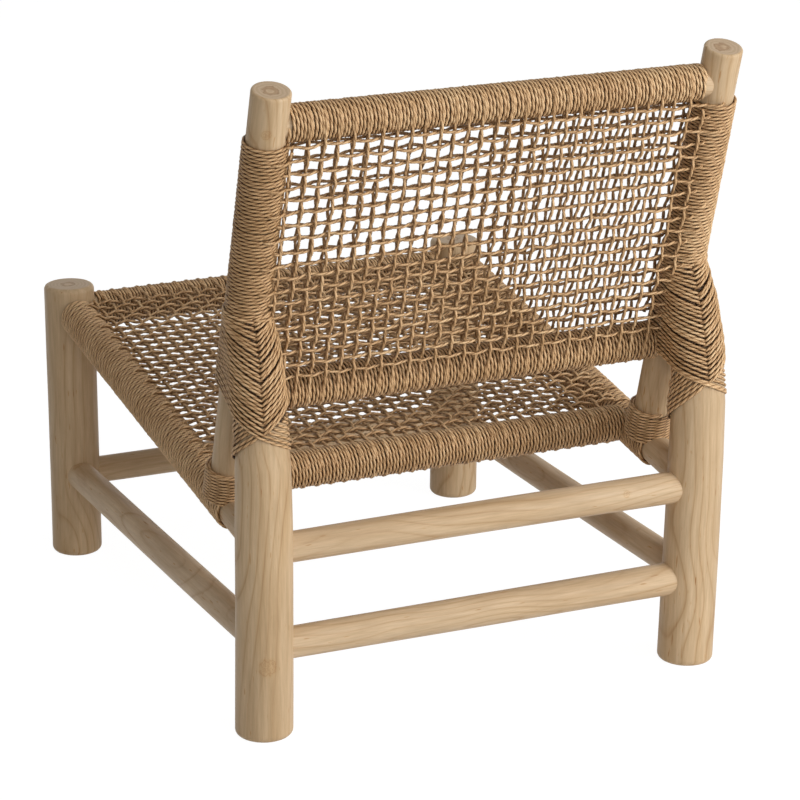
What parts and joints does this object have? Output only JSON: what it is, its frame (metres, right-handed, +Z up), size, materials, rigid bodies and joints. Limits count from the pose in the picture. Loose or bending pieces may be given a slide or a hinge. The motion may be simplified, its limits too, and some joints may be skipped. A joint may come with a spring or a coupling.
{
  "type": "lounge chair",
  "caption": "Low armless lounge chair of round teak branch wood, with leaning back posts and an open woven cord seat and back.",
  "frame": {"origin": "on the floor under the middle of the chair's bounding box", "axes": "+Z up, the sitter faces -Y, the sitter's left is +X"},
  "size_m": [0.6078, 0.7362, 0.7451],
  "materials": {
    "teak": "bare sanded branch wood with knots and fine checks",
    "cord": "twisted natural fibre cord, matt"
  },
  "bodies": {
    "root": {"seat_front_rail": "teak", "seat_rear_rail": "teak", "back_top_rail": "teak", "back_lower_rail": "teak", "front_stretcher": "teak", "rear_upper_stretcher": "teak", "rear_lower_stretcher": "teak", "seat_front_rail_wrap": "cord", "seat_rear_rail_wrap": "cord", "back_top_rail_wrap": "cord", "back_lower_rail_wrap": "cord", "back_net_rear": "cord", "back_net_front": "cord", "seat_net_top": "cord", "seat_net_under": "cord", "front_leg_left": "teak", "front_leg_right": "teak", "rear_leg_left": "teak", "rear_leg_right": "teak", "back_post_left": "teak", "back_post_right": "teak", "seat_side_rail_left": "teak", "seat_side_rail_right": "teak", "side_stretcher_left": "teak", "side_stretcher_right": "teak", "seat_side_rail_wrap_left": "cord", "seat_side_rail_wrap_right": "cord", "back_post_wrap_left": "cord", "back_post_wrap_right": "cord", "post_foot_lashing_left": "cord", "post_foot_lashing_right": "cord", "cross_lashing_left": "cord", "cross_lashing_right": "cord"}
  },
  "joints": []
}
